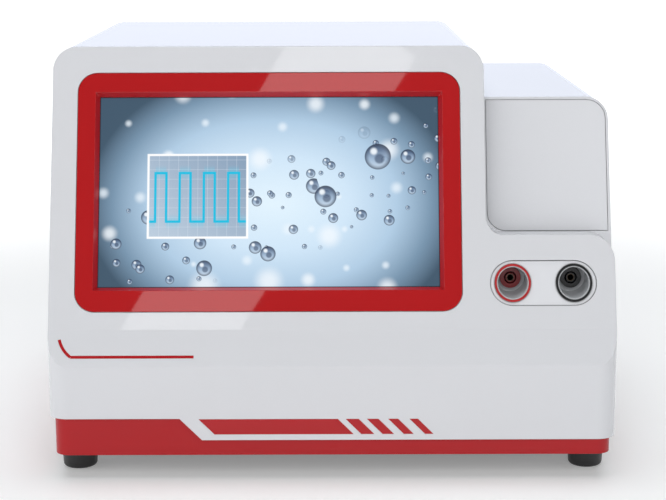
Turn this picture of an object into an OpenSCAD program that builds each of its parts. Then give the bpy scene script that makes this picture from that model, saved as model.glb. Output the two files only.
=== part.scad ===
// Bench electroporator: a pulse generator in a closed housing with a touch screen and two safety sockets.
// The front faces -Y, +Z is up, and the origin lies on the bench under the middle of the housing.

/* [Housing] */
// Width over the housing
body_w = 370; // [366:1:376]
// Depth over the housing
body_d = 340; // [336:1:350]
// Height from the bench to the top
body_h = 276.4; // [272:0.2:282]
// Thickness of the moulded walls
wall = 3; // [2.6:0.2:3.4]
// Width of the right section
side_w = 84; // [80:1:86]
// Drop from the top to the right section's top
side_drop = 34.4; // [28:0.2:40]
// Height of the ledge on the right above the bend
ledge_rise = 58.4; // [57:0.2:62]
// How far the upper right wall is set back
setback = 14; // [12:0.5:18]
// Radius of the tall section's upper corners
top_r = 15; // [10:0.5:18]
// Radius of the lower front's upper right corner
ledge_r = 16.5; // [10:0.5:18]
// Radius of the hollow corner beside the ledge
inner_r = 11.5; // [8:0.5:14]
// Radius of the right section's upper corner
side_r = 14.5; // [10:0.5:18]
// Radius of the front's upright corners
plan_r = 13; // [10:0.5:13.5]
// Radius of the back's upright corners
rear_r = 5; // [3:0.5:5.4]

/* [Front] */
// Lean of the front face from upright, in degrees
lean = 19.2; // [17:0.2:21]
// Height of the chin's top edge
chin_top = 76.8; // [74:0.2:79]
// Height of the bend between slope and leaning face
bend_h = 97.6; // [95:0.2:100]
// Distance of the bend behind the chin
bend_back = 13.8; // [13.6:0.2:16]
// Height of the chin's lower edge on the right
chin_low = 27.3; // [24:0.1:29]
// Rise of the lower edge on the left, taken at 45 degrees
chin_step = 14.4; // [12:0.1:16]
// Distance of that rise's upper end from the left side
step_in = 85.7; // [83:0.1:89]
// Distance of the seam behind the leaning face
seam_back = 7; // [6:0.5:9]
// Distance of the seam behind the chin, on the sides
seam_low = 30; // [28:1:34]

/* [Base and feet] */
// Height of the feet under the tray
foot_h = 16.3; // [14:0.1:18]
// Radius of a foot at its top
foot_r = 12.2; // [10:0.1:13]
// Distance of the feet from the sides
foot_inset_x = 15.5; // [15:0.5:20]
// Distance of the feet from front and back
foot_inset_y = 34.5; // [24:0.5:38]
// Sheet thickness of the tray
tray_t = 2; // [1.6:0.2:2.4]
// Height of the tray's walls
tray_rise = 35.5; // [32:0.5:38]
// Clearance between the tray and the housing
tray_gap = 0.2; // [0.1:0.05:0.4]

/* [Screen] */
// Distance of the bezel from the left side
bezel_left = 17.1; // [15:0.1:18]
// Width of the face on the right of the bezel
bezel_right = 16.2; // [15:0.1:18]
// Distance of the bezel above the bend
bezel_s = 12; // [11:0.5:13]
// Distance of the bezel below the face's top edge
bezel_top = 18.1; // [16:0.1:19]
// Radius of the bezel's corners
bezel_r = 12.8; // [9:0.1:15]
// Clearance around the bezel
bezel_gap = 0.4; // [0.2:0.1:0.6]
// Depth from the bezel's face to the glass
bezel_depth = 4.5; // [4:0.1:5.5]
// Width of the bezel's inner bevel
bevel_w = 2.5; // [2:0.1:4.5]
// Width of the bezel's sides
bezel_side = 14.1; // [13.5:0.1:17]
// Height of the bezel's top and bottom
bezel_end = 15.9; // [15.5:0.1:18.5]
// How far the screen's opening sits above the bezel's middle
screen_up = 0.5; // [0:0.1:1]
// Width of the ledge that the bezel sits on
seat_w = 5; // [4:0.5:5.5]
// Thickness of that ledge
seat_t = 3; // [2:0.2:3.2]
// Thickness of the touch glass
glass_t = 1.8; // [1.1:0.1:2.2]
// Thickness of the display panel
panel_t = 5; // [4:0.2:6]
// Thickness of the display bracket
bracket_t = 1.5; // [1:0.1:2]

/* [Notice plate] */
// Distance of the plate's edge from the wall's edges
notice_edge = 2.2; // [1.6:0.1:3]
// Distance of the plate's lower edge from the ledge
notice_low = 0.5; // [0.5:0.1:2.5]
// Thickness of the notice plate
notice_t = 1.5; // [1:0.1:1.8]
// Clearance around the notice plate
notice_gap = 0.4; // [0.2:0.1:0.6]

/* [Sockets] */
// Distance of the sockets' middle from the right side
jack_in = 47.1; // [45:0.1:49]
// Height of the sockets' middle above the bend, along the face
jack_s = 30.2; // [29:0.1:31.5]
// Distance between the two sockets
jack_pitch = 40; // [38:0.5:41]
// Width of the jack plate
jack_w = 69.7; // [68:0.1:71]
// Height of the jack plate
jack_h = 30; // [29:0.1:31]
// Depth of the jack plate below the face
jack_recess = 0.8; // [0.4:0.1:1.2]
// Clearance around the jack plate
jack_gap = 0.3; // [0.2:0.05:0.5]
// Outer radius of a socket's coloured ring
ring_r = 11.8; // [11.6:0.1:12.4]
// Wall of the coloured ring
ring_wall = 1.3; // [1:0.1:2]
// Wall of the well inside the ring
well_wall = 0.6; // [0.5:0.1:0.9]
// Depth from the face to the socket's head
well_depth = 17; // [15:0.5:19]
// Radius of the socket's head
head_r = 7; // [6.6:0.1:7.6]
// Radius of the socket's threaded barrel
barrel_r = 6; // [5.6:0.1:6.3]
// Outer radius of the slot around the contact
slot_r = 4.15; // [3.9:0.05:4.4]
// Outer radius of the contact's sleeve
sleeve_r = 3.1; // [2.9:0.05:3.2]
// Outer radius of the contact tube
contact_r = 2.5; // [2.4:0.05:2.6]
// Radius of the contact's bore
bore_r = 2; // [1.95:0.05:2.05]
// Depth of the contact's bore
bore_depth = 20; // [18:0.5:22]

/* [Trim] */
// Depth of the stripes let into the chin
stripe_t = 0.5; // [0.3:0.1:0.8]
// Height of the stripes' lower edge
stripe_low = 31.2; // [30:0.1:33]
// Height of a stripe
stripe_h = 10.2; // [9:0.1:11]
// Distance of the long stripe's upper left end from the left side
stripe_in = 98.1; // [95:0.1:101]
// Width of the long stripe
stripe_w = 90.3; // [84:0.1:92]
// Gap between the long stripe and the first short one
dash_gap = 5.1; // [4:0.1:6]
// Distance from one short stripe to the next
dash_pitch = 13.8; // [13:0.1:15]
// Width of the first short stripe
dash_w = 8.4; // [7:0.1:9]
// How much narrower each further short stripe is
dash_less = 1; // [0.5:0.1:1.4]
// Width of the accent line on the slope
line_w = 1.9; // [1.2:0.1:2.2]
// Length of the accent line's straight run
line_len = 79.6; // [70:0.1:95]

/* [Back] */
// Thickness of the rear panel
rear_t = 2; // [1.5:0.1:2.5]
// Distance of the fan's axis from the left side
fan_in_x = 90; // [75:1:105]
// Height of the fan's axis
fan_z = 165; // [155:1:180]
// Side of the fan's square frame
fan_side = 80; // [80:1:84]
// Thickness of the fan's frame
fan_t = 25; // [23:1:27]
// Distance of the mains inlet from the right side
inlet_in = 60; // [53:1:65]
// Height of the mains inlet
inlet_z = 84; // [80:1:90]
// Distance of the power switch from the right side
switch_in = 110; // [103:1:117]
// Tilt of the rocker each way, in degrees
rocker_tilt = 10; // [8:0.5:11]

/* [Inside] */
// Thickness of the circuit boards
board_t = 1.6; // [1.2:0.2:2]
// Height of the boards above the tray
board_lift = 11.5; // [9:0.5:14]
// Radius of a storage capacitor
cap_r = 17.5; // [15:0.5:18]
// Height of a storage capacitor
cap_h = 58; // [48:1:64]
// Number of fins on the heat sink
fins = 9; // [7:1:11]

/* [Hidden] */
$fn = 48;

// Colours
c_grey = [0.83, 0.84, 0.86];
c_red = [0.7, 0.11, 0.14];
c_black = [0.12, 0.12, 0.13];
c_steel = [0.7, 0.71, 0.73];
c_board = [0.1, 0.35, 0.2];

// Clearances
eps = 0.1;
seat_gap = 0.05;
thread_gap = 0.05;
hole_gap = 0.2;
lay_gap = 0.1;
move_gap = 0.3;

// The housing's planes
left = -body_w / 2;
right = body_w / 2;
front = -body_d / 2;
back = body_d / 2;
tall_w = body_w - side_w;
tall_x = left + tall_w;
side_h = body_h - side_drop;
ledge_h = bend_h + ledge_rise;
bend_y = front + bend_back;
floor_z = foot_h + tray_t;
tray_in = wall + tray_gap;
tray_r = plan_r - tray_in;
slope_up = [bend_back, bend_h - chin_top] / norm([bend_back, bend_h - chin_top]);
slope_angle = atan2(slope_up[1], slope_up[0]);
lean_up = [sin(lean), cos(lean)];
face_len = (body_h - bend_h) / cos(lean);
ledge_s = (ledge_h - bend_h) / cos(lean);
side_s = (side_h - bend_h) / cos(lean);

bezel_w = tall_w - bezel_left - bezel_right;
bezel_h = face_len - bezel_s - bezel_top;
bezel_x = left + bezel_left + bezel_w / 2;
screen_w = bezel_w - 2 * bezel_side;
screen_h = bezel_h - 2 * bezel_end;
jack_x = right - jack_in;
step_x = left + step_in;
stripe_x = left + stripe_in;
dash_x = stripe_x + stripe_w + dash_gap;
fan_x = left + fan_in_x;
inlet_x = right - inlet_in;
switch_x = right - switch_in;

// Where two lines cross, each given by a point and a direction
function cross2(a, b) = a[0] * b[1] - a[1] * b[0];
function meet(p, d, q, f) = p + d * cross2(q - p, f) / cross2(d, f);
// A direction turned a quarter turn towards the inside of the profile
function inward(d) = [d[1], -d[0]];

// Extrusions along the depth and along the width
module along_y(y0, y1) translate([0, y1, 0]) rotate([90, 0, 0]) linear_extrude(y1 - y0) children();
module along_x(x0, x1) translate([x0, 0, 0]) rotate([90, 0, 90]) linear_extrude(x1 - x0) children();

// Places on the faces: x across, y up the face, z out of it
module on_lean(back_by = 0) translate([0, bend_y + back_by, bend_h]) rotate([90 - lean, 0, 0]) children();
module on_slope() translate([0, front, chin_top]) rotate([slope_angle, 0, 0]) children();

// Rectangle from two corners with four radii: lower left, lower right, upper right, upper left
module rounded(x0, y0, x1, y1, r) {
  polygon([[x0 + r[0], y0], [x1 - r[1], y0], [x1, y0 + r[1]], [x1, y1 - r[2]], [x1 - r[2], y1],
    [x0 + r[3], y1], [x0, y1 - r[3]], [x0, y0 + r[0]]]);
  if (r[0] > 0) translate([x0 + r[0], y0 + r[0]]) circle(r[0]);
  if (r[1] > 0) translate([x1 - r[1], y0 + r[1]]) circle(r[1]);
  if (r[2] > 0) translate([x1 - r[2], y1 - r[2]]) circle(r[2]);
  if (r[3] > 0) translate([x0 + r[3], y1 - r[3]]) circle(r[3]);
}
// The same about its middle, with one radius
module centred(w, h, r) rounded(-w / 2, -h / 2, w / 2, h / 2, [r, r, r, r]);
// Slot with round ends, upright, about its middle
module slot(w, h) {
  square([w, h - w], center = true);
  for (s = [-1, 1]) translate([0, s * (h - w) / 2]) circle(w / 2);
}
// Slot with round ends, lying, about its middle
module obround(w, h) rotate(90) slot(h, w);
module tube(r_out, r_in, h) difference() {
  cylinder(r = r_out, h = h);
  translate([0, 0, -eps]) cylinder(r = r_in, h = h + 2 * eps);
}

// Screw that points up: a domed head with a cross recess under the shank
recess_w = 0.8;
module screw(r, head, head_h, len) {
  cylinder(r = r, h = len);
  difference() {
    translate([0, 0, -head_h]) cylinder(r1 = head * 0.82, r2 = head, h = head_h);
    translate([0, 0, -head_h - eps]) linear_extrude(head_h * 0.6)
      for (t = [0, 90]) rotate(t) square([head * 1.2, recess_w], center = true);
  }
}

// Tube along a route: rings square to the run, joined by one skin
function unit(v) = v / norm(v);
function spline(p, i, t) = let (
  a = p[max(i - 1, 0)], b = p[i], c = p[i + 1], d = p[min(i + 2, len(p) - 1)]
) (2 * b + (c - a) * t + (2 * a - 5 * b + 4 * c - d) * t * t + (3 * b - a - 3 * c + d) * t * t * t) / 2;
// The first and the last stretch stay straight, so that the ends are square to what they meet
function smooth_route(p, n) = concat([p[0]],
  [for (i = [1 : len(p) - 3]) for (k = [0 : n - 1]) spline(p, i, k / n)], [p[len(p) - 2], p[len(p) - 1]]);
function run(q, i) = unit(q[min(i + 1, len(q) - 1)] - q[max(i - 1, 0)]);
function carried(q, i, u) = let (d = run(q, i)) unit(u - (u * d) * d);
function frames(q, i, u) = i >= len(q) ? [] : let (v = carried(q, i, u)) concat([v], frames(q, i + 1, v));
module lead(points, r, sides, steps) {
  q = smooth_route(points, steps);
  n = len(q);
  first = abs(run(q, 0)[2]) < 0.9 ? [0, 0, 1] : [1, 0, 0];
  us = frames(q, 0, first);
  rings = [for (i = [0 : n - 1]) for (k = [0 : sides - 1]) let (d = run(q, i), v = cross(d, us[i]),
    a = 360 * k / sides) q[i] + r * (us[i] * cos(a) + v * sin(a))];
  skin = [for (i = [0 : n - 2]) for (k = [0 : sides - 1]) let (m = (k + 1) % sides)
    each [[i * sides + k, (i + 1) * sides + k, (i + 1) * sides + m], [i * sides + k, (i + 1) * sides + m,
    i * sides + m]]];
  ends = [for (k = [1 : sides - 2]) each [[0, k, k + 1], [(n - 1) * sides, (n - 1) * sides + k + 1,
    (n - 1) * sides + k]]];
  polyhedron(rings, concat(skin, ends));
}

// Outline of the front part, seen from the front and drawn in by e
lap = 40;
module front_outline(e, z0) {
  rounded(left + e, z0, tall_x - e, body_h - e, [0, 0, top_r - e, top_r - e]);
  rounded(tall_x - lap, z0, right - e, ledge_h - e, [0, 0, ledge_r - e, 0]);
  translate([tall_x - e, ledge_h - e]) difference() {
    translate([-1, -1]) square(inner_r + e + 1);
    translate([inner_r + e, inner_r + e]) circle(inner_r + e);
  }
}
// Side view of the front part, drawn in by e
module front_profile(e, z0, y1) {
  chin = [front + e, z0];
  slope = [front, chin_top] + e * inward(slope_up);
  face = [bend_y, bend_h] + e * inward(lean_up);
  polygon([[y1, z0], chin, meet(chin, [0, 1], slope, slope_up), meet(slope, slope_up, face, lean_up),
    meet(face, lean_up, [0, body_h - e], [1, 0]), [y1, body_h - e]]);
}
// Everything behind a plane that leans like the face and lies back_by behind it
module behind_lean(back_by, z0, z1, y1) {
  foot = [bend_y + back_by, bend_h];
  polygon([[y1, z0], meet(foot, lean_up, [0, z0], [1, 0]), meet(foot, lean_up, [0, z1], [1, 0]), [y1, z1]]);
}
// Plan of the housing, drawn in by e
module plan(e, y1) rounded(left + e, front + e, right - e, y1,
  [plan_r - e, plan_r - e, e > 0 ? 0 : rear_r, e > 0 ? 0 : rear_r]);

// Solid inside of the housing's outer faces, drawn in by e, open below and behind when e > 0
module envelope(e) {
  z0 = e > 0 ? -1 : chin_low;
  y1 = e > 0 ? back + 1 : back;
  intersection() {
    union() {
      intersection() {
        along_y(front - 1, y1) front_outline(e, z0);
        along_x(left - 1, right + 1) front_profile(e, z0, y1);
      }
      intersection() {
        along_y(front - 1, y1) rounded(tall_x - lap, z0, right - e, side_h - e, [0, 0, side_r - e, 0]);
        along_x(left - 1, right + 1) behind_lean(setback + e / cos(lean), z0, side_h - e, y1);
      }
    }
    translate([0, 0, z0 - 1]) linear_extrude(body_h + 2) plan(e, y1);
  }
}
// What lies behind the seam between the two shells, moved by d
module behind_seam(d) along_x(left - 5, right + 5) {
  low_y = front + seam_low + d;
  foot = [bend_y + seam_back + d, bend_h];
  polygon([[back + 5, -5], [low_y, -5], meet(foot, lean_up, [low_y, 0], [0, 1]),
    meet(foot, lean_up, [0, body_h + 5], [1, 0]), [back + 5, body_h + 5]]);
}
// Rim along the seam, above the tray, from e0 inwards and from d0 to d1 behind the seam
rim_t = 1.7;
module rim(e0, d0, d1) difference() {
  intersection() {
    along_y(front - 1, back) difference() {
      front_outline(e0, tray_top + 2);
      front_outline(wall + rim_t, 0);
    }
    behind_seam(d0);
  }
  behind_seam(d1);
}
// The step in the housing's lower edge
module under_chin() along_y(front - 5, back + 5) polygon([[left - 5, -5], [right + 5, -5],
  [right + 5, chin_low - 1], [step_x + chin_step + 1, chin_low - 1], [step_x + chin_step, chin_low],
  [step_x, chin_low + chin_step], [left - 5, chin_low + chin_step]]);

// Places of what fastens the housing
boss_r = 4.5;
boss_clear = 1.5;
boss_top = 70;
hole_depth = 14;
gusset_t = 2.4;
screw_r = 1.5;
pan_r = 3;
pan_h = 2;
tray_top = foot_h + tray_rise;
gusset_z = tray_top + 2;
front_boss_in = 45;
side_boss_y = [front + 85, back - 75];
front_boss = [for (s = [-1, 1])
  [s * (right - front_boss_in), front + wall + tray_in + tray_t + boss_r + boss_clear]];
side_boss = [for (s = [-1, 1], y = side_boss_y)
  [s * (right - tray_in - tray_t - boss_r - boss_clear), y]];
foot_at = [for (s = [-1, 1], t = [-1, 1]) [s * (right - foot_inset_x), t * (back - foot_inset_y)]];
rear_in = back - tray_in - tray_t - move_gap;
panel_in = rear_in - rear_t;
lug_w = 12;
lug_d = 12;
lug_edge = wall + lug_w / 2;
lug_low = 80;
lug_at = [[left + lug_edge, lug_low], [left + lug_edge, body_h - lap], [right - lug_edge, lug_low + 50],
  [right - lug_edge, side_h - 30], [left + 60, body_h - lug_edge], [tall_x - lap, body_h - lug_edge]];

module boss(p) translate([p[0], p[1], floor_z + seat_gap])
  cylinder(r = boss_r, h = boss_top - floor_z - seat_gap);
module boss_hole(p) translate([p[0], p[1], 0]) cylinder(r = screw_r + thread_gap, h = floor_z + hole_depth);

// Screen, in the leaning face's own places
screen_s = bezel_s + bezel_h / 2;
seat_n = -wall - lay_gap;
glass_n = -bezel_depth - lay_gap;
panel_n = glass_n - glass_t - lay_gap;
bracket_n = panel_n - panel_t - lay_gap;
seat_rim = 3.5;
bracket_hole_x = bezel_w / 2 - 36.6;
bracket_hole_depth = 8;
bracket_edge = 6.4;
bracket_boss_r = 3.6;
bracket_screw_r = 1.25;
bracket_at = [for (s = [-1, 1], t = [-1, 1])
  [bezel_x + s * bracket_hole_x, screen_s + t * (bezel_h / 2 + bracket_edge)]];

module front_shell() color(c_grey) difference() {
  union() {
    difference() {
      envelope(0);
      behind_seam(0);
      envelope(wall);
      under_chin();
    }
    // Rim that centres the rear cover
    rim(wall - eps, -5, 0);
    rim(wall + hole_gap, -1, 4);
    // Ledge under the bezel
    on_lean() translate([bezel_x, screen_s, -wall - seat_t - lay_gap]) linear_extrude(seat_t + lay_gap + 0.5)
      centred(bezel_w + 2 * seat_rim, bezel_h + 2 * seat_rim, bezel_r + seat_rim);
    // Bosses for the display bracket
    for (p = bracket_at) on_lean() translate([p[0], p[1], bracket_n + lay_gap])
      cylinder(r = bracket_boss_r, h = -wall - bracket_n - lay_gap + 0.5);
    // Bosses for the tray's screws
    for (p = front_boss) {
      boss(p);
      translate([p[0] - gusset_t / 2, front + wall - 0.5, gusset_z])
        cube([gusset_t, p[1] - front - wall, boss_top - gusset_z]);
    }
  }
  // Aperture for the bezel and the opening behind it
  on_lean() translate([bezel_x, screen_s, seat_n]) linear_extrude(wall + 5)
    centred(bezel_w + 2 * bezel_gap, bezel_h + 2 * bezel_gap, bezel_r + bezel_gap);
  on_lean() translate([bezel_x, screen_s, -wall - seat_t - 2]) linear_extrude(seat_t + 4)
    square([bezel_w - 2 * seat_w, bezel_h - 2 * seat_w], center = true);
  // Aperture for the jack plate
  on_lean() translate([jack_x, jack_s, -wall - 2]) linear_extrude(wall + 5) obround(jack_w, jack_h);
  for (p = bracket_at) on_lean() translate([p[0], p[1], bracket_n - 1])
    cylinder(r = bracket_screw_r + thread_gap, h = bracket_hole_depth);
  for (p = front_boss) boss_hole(p);
  // Beds of the trim
  along_y(front - 5, front + stripe_t + seat_gap) stripes(seat_gap);
  on_slope() translate([0, 0, -stripe_t - seat_gap]) linear_extrude(5) accent(seat_gap);
}

module rear_cover() color(c_grey) difference() {
  union() {
    difference() {
      intersection() {
        envelope(0);
        behind_seam(0);
      }
      envelope(wall);
      under_chin();
    }
    for (p = side_boss) {
      boss(p);
      mirror([p[0] < 0 ? 1 : 0, 0, 0]) translate([abs(p[0]), p[1] - gusset_t / 2, gusset_z])
        cube([right - wall - abs(p[0]) + 0.5, gusset_t, boss_top - gusset_z]);
    }
    for (p = lug_at) translate([p[0] - lug_w / 2 - 0.5, panel_in - lug_d, p[1] - lug_w / 2 - 0.5])
      cube([lug_w + 1, lug_d - seat_gap, lug_w + 1]);
  }
  for (p = side_boss) boss_hole(p);
  for (p = lug_at) translate([p[0], panel_in + 1, p[1]]) rotate([90, 0, 0])
    cylinder(r = screw_r + thread_gap, h = lug_d - 2);
  on_lean(setback) translate([0, 0, -notice_t - seat_gap]) linear_extrude(10) notice_outline(notice_gap);
}

// The notice plate's outline on the set-back wall, grown by g
notice_inner = inner_r + 0.5;
module notice_outline(g) rounded(tall_x + notice_edge - g, ledge_s + notice_low - g,
  right - notice_edge + g, side_s - notice_edge + g,
  [notice_inner + g, g, side_r - notice_edge + g, g]);
module notice_plate() color([0.86, 0.87, 0.89]) on_lean(setback)
  translate([0, 0, -notice_t]) linear_extrude(notice_t) notice_outline(0);

vent_w = 3.5;
tray_vent_x = [left + 125, right - 125];
tray_vent_y = back - 60;
tray_vent_h = 40;
tray_vent_pitch = 9;
module base_tray() color(c_red) difference() {
  translate([0, 0, foot_h]) linear_extrude(tray_rise) tray_plan(tray_in);
  translate([0, 0, floor_z]) linear_extrude(tray_rise) tray_plan(tray_in + tray_t);
  for (p = concat(front_boss, side_boss)) translate([p[0], p[1], foot_h - 1])
    cylinder(r = screw_r + hole_gap, h = tray_t + 2);
  for (p = foot_at) translate([p[0], p[1], foot_h - 1])
    cylinder(r = foot_screw_r + thread_gap, h = tray_t + 2);
  for (p = board_holes) translate([p[0], p[1], foot_h - 1])
    cylinder(r = screw_r + hole_gap, h = tray_t + 2);
  translate([0, tray_vent_y, foot_h - 1]) linear_extrude(tray_t + 2)
    for (x = tray_vent_x, i = [-4 : 4]) translate([x + tray_vent_pitch * i, 0]) slot(vent_w, tray_vent_h);
}
// Plan of the tray, drawn in by e from the housing's outer faces
module tray_plan(e) {
  r = plan_r - e;
  rounded(left + e, front + e, right - e, back - e, [r, r, r, r]);
}

// Feet: a taper with a rounded lower edge and a counterbore for the screw
foot_web = 4;
foot_edge = 2.5;
foot_taper = 0.9;
foot_bore_r = 5;
foot_screw_r = 2;
foot_nut_r = 4;
foot_nut_h = 2.8;
module feet() color(c_black) for (p = foot_at) translate([p[0], p[1], 0]) rotate_extrude() polygon(concat(
  [[foot_screw_r + 0.3, foot_h - foot_web], [foot_bore_r, foot_h - foot_web], [foot_bore_r, 0]],
  [for (a = [-90 : 15 : 0])
    [foot_r - foot_taper - foot_edge + foot_edge * cos(a), foot_edge + foot_edge * sin(a)]],
  [[foot_r, foot_h], [foot_screw_r + 0.3, foot_h]]));
module foot_screws() color(c_steel) for (p = foot_at)
  translate([p[0], p[1], foot_h - foot_web - seat_gap]) {
    screw(foot_screw_r, foot_nut_r, 2.6, foot_web + tray_t + foot_nut_h + 0.2);
    translate([0, 0, foot_web + tray_t + 2 * seat_gap]) difference() {
      cylinder(r = foot_nut_r, h = foot_nut_h, $fn = 6);
      translate([0, 0, -eps]) cylinder(r = foot_screw_r - eps, h = foot_nut_h + 2 * eps);
    }
  }
module housing_screws() color(c_steel) for (p = concat(front_boss, side_boss))
  translate([p[0], p[1], foot_h - seat_gap]) screw(screw_r, pan_r, pan_h, 12);

// Stripes on the chin, in the front view
module bar(x, w, g) polygon([[x - g, stripe_low + stripe_h + g], [x + w + g, stripe_low + stripe_h + g],
  [x + w + stripe_h + g, stripe_low - g], [x + stripe_h - g, stripe_low - g]]);
module stripes(g) {
  bar(stripe_x, stripe_w, g);
  for (i = [0 : 3]) bar(dash_x + i * dash_pitch, dash_w - i * dash_less, g);
}
module chin_stripes() color(c_red) along_y(front, front + stripe_t) stripes(0);
// Accent line on the slope: a long bend down from the left, then a straight run
line_r = 22;
line_from = 14;
line_to = 52;
line_x = left + 15.7;
line_y = 5.6;
function bend_at(r, a) = [line_x + line_r * cos(line_to) - r * cos(a),
  line_y + line_w / 2 + line_r * sin(line_to) - r * sin(a)];
module accent(g) {
  translate([line_x - g, line_y - g]) square([line_len + 2 * g, line_w + 2 * g]);
  start = line_from - g / line_r * 180 / PI;
  outer = line_r + line_w / 2 + g;
  inner = line_r - line_w / 2 - g;
  polygon(concat([for (k = [0 : 16]) bend_at(outer, start + (line_to - start) * k / 16)],
    [for (k = [16 : -1 : 0]) bend_at(inner, start + (line_to - start) * k / 16)]));
}
module accent_line() color(c_red) on_slope() translate([0, 0, -stripe_t]) linear_extrude(stripe_t) accent(0);

module screen_bezel() color(c_red) on_lean() translate([bezel_x, screen_s, 0]) difference() {
  union() {
    translate([0, 0, -wall]) linear_extrude(wall) centred(bezel_w, bezel_h, bezel_r);
    translate([0, 0, -bezel_depth]) linear_extrude(bezel_depth - 1)
      square([bezel_w - 2 * seat_w - 0.6, bezel_h - 2 * seat_w - 0.6], center = true);
  }
  translate([0, screen_up, -bezel_depth - 1]) linear_extrude(bezel_depth + 2)
    square([screen_w, screen_h], center = true);
  hull() {
    translate([-screen_w / 2, screen_up - screen_h / 2, -bezel_depth]) cube([screen_w, screen_h, 0.01]);
    translate([-screen_w / 2 - bevel_w, screen_up - screen_h / 2 - bevel_w, 0])
      cube([screen_w + 2 * bevel_w, screen_h + 2 * bevel_w, 1]);
  }
}
glass_w = bezel_w - 2 * seat_w - 6;
glass_h = bezel_h - 2 * seat_w - 6;
module touch_glass() color([0.3, 0.4, 0.5]) on_lean() translate([bezel_x, screen_s, glass_n - glass_t])
  linear_extrude(glass_t) centred(glass_w, glass_h, 2);
module display_panel() color(c_steel) on_lean() translate([bezel_x, screen_s, panel_n - panel_t])
  linear_extrude(panel_t) centred(glass_w - 4, glass_h - 3, 1);
control_w = 2 * bracket_hole_x - 44;
control_h = bezel_h - 63.7;
control_in = 6;
control_at = [for (s = [-1, 1], t = [-1, 1])
  [bezel_x + s * (control_w / 2 - control_in), screen_s + t * (control_h / 2 - control_in)]];
control_lift = 6;
module display_bracket() color(c_steel) on_lean() difference() {
  translate([bezel_x, screen_s, bracket_n - bracket_t]) linear_extrude(bracket_t) difference() {
    centred(2 * bracket_hole_x + 14, bezel_h + 2 * bracket_edge + 9, 4);
    for (s = [-1, 1]) translate([s * (bracket_hole_x - 8), 0]) centred(20, control_h + 4, 4);
    for (t = [-1, 1]) translate([0, t * (control_h / 2 + 14)]) centred(control_w - 16, 20, 4);
  }
  for (p = concat(bracket_at, control_at)) translate([p[0], p[1], bracket_n - bracket_t - 1])
    cylinder(r = bracket_screw_r + hole_gap, h = bracket_t + 2);
}
module bracket_screws() color(c_steel) for (p = bracket_at) on_lean()
  translate([p[0], p[1], bracket_n - bracket_t - seat_gap])
    screw(bracket_screw_r, 2 * bracket_screw_r, 1.8, 6);
control_n = bracket_n - bracket_t - control_lift - 2 * seat_gap;
module control_spacers() color(c_steel) for (p = control_at) on_lean()
  translate([p[0], p[1], control_n + seat_gap]) cylinder(r = 2.5, h = control_lift, $fn = 6);
// Parts on the control board: place, size and height
control_parts = [[-30, 10, 26, 26, 2.5], [20, 15, 18, 18, 2], [0, -30, 60, 12, 9], [45, 20, 12, 30, 7]];
module control_board() color(c_board) on_lean() {
  translate([bezel_x, screen_s, control_n - board_t]) linear_extrude(board_t)
    centred(control_w, control_h, 3);
  for (b = control_parts) translate([bezel_x + b[0], screen_s + b[1], control_n - board_t - b[4]])
    linear_extrude(b[4] + eps) square([b[2], b[3]], center = true);
}
// Flat cable from the back of the panel, round the bracket's edge, to the back of the control board
ribbon_w = 24;
ribbon_t = 0.5;
ribbon_run = 16;
module ribbon_cable() color([0.85, 0.86, 0.8]) on_lean()
  translate([bezel_x - ribbon_w / 2, screen_s + control_h / 2 + 14, 0])
    rotate([90, 0, 90]) linear_extrude(ribbon_w) {
      start = panel_n - panel_t - seat_gap;
      end = control_n - board_t - seat_gap;
      turn = control_n - 6;
      polygon([[0, start], [ribbon_t, start], [ribbon_t, turn - ribbon_t],
        [-ribbon_run - ribbon_t, turn - ribbon_t], [-ribbon_run - ribbon_t, end], [-ribbon_run, end],
        [-ribbon_run, turn], [0, turn]]);
    }

// Sockets: the axes lie level, so the rings are cut by the leaning face
jack_z = bend_h + jack_s * cos(lean);
jack_y = bend_y + jack_s * sin(lean);
jack_at = [for (s = [-1, 1]) jack_x + s * jack_pitch / 2];
head_y = jack_y + well_depth;
head_t = 3;
well_t = 2;
well_r = ring_r - ring_wall - lay_gap;
well_in = well_r - well_wall;
nut_t = 4;
flange_t = 2;
// From the front plane backwards, level, at socket x
module at_socket(x, y) translate([x, y, jack_z]) rotate([-90, 0, 0]) children();
module behind_face(d) along_x(left, right) behind_lean(d / cos(lean), 0, body_h, back);
module jack_plate() color([0.88, 0.89, 0.91]) difference() {
  on_lean() translate([jack_x, jack_s, 0]) {
    translate([0, 0, -wall - lay_gap - flange_t]) linear_extrude(wall + lay_gap + flange_t - jack_recess)
      obround(jack_w - 2 * jack_gap, jack_h - 2 * jack_gap);
    translate([0, 0, -wall - lay_gap - flange_t]) linear_extrude(flange_t) obround(jack_w + 7, jack_h + 7);
  }
  for (x = jack_at) at_socket(x, front) cylinder(r = ring_r + lay_gap, h = 80);
}
module socket_ring(x) intersection() {
  at_socket(x, front) tube(ring_r, ring_r - ring_wall, jack_y + 9 - front);
  behind_face(0);
}
module socket_ring_red() color(c_red) socket_ring(jack_at[0]);
module socket_ring_black() color(c_black) socket_ring(jack_at[1]);
module socket_wells() color([0.6, 0.61, 0.62]) for (x = jack_at) difference() {
  intersection() {
    union() {
      at_socket(x, front) cylinder(r = well_r, h = head_y + head_t + lay_gap + well_t - front);
      at_socket(x, jack_y + 9 + seat_gap) cylinder(r = ring_r, h = 2);
    }
    behind_face(0.3);
  }
  at_socket(x, front - 1) cylinder(r = well_in, h = head_y + head_t + lay_gap - front + 1);
  at_socket(x, front) cylinder(r = barrel_r + lay_gap, h = 120);
}
barrel_end = head_y + head_t + well_t + nut_t + 10;
slot_depth = 18;
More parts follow.
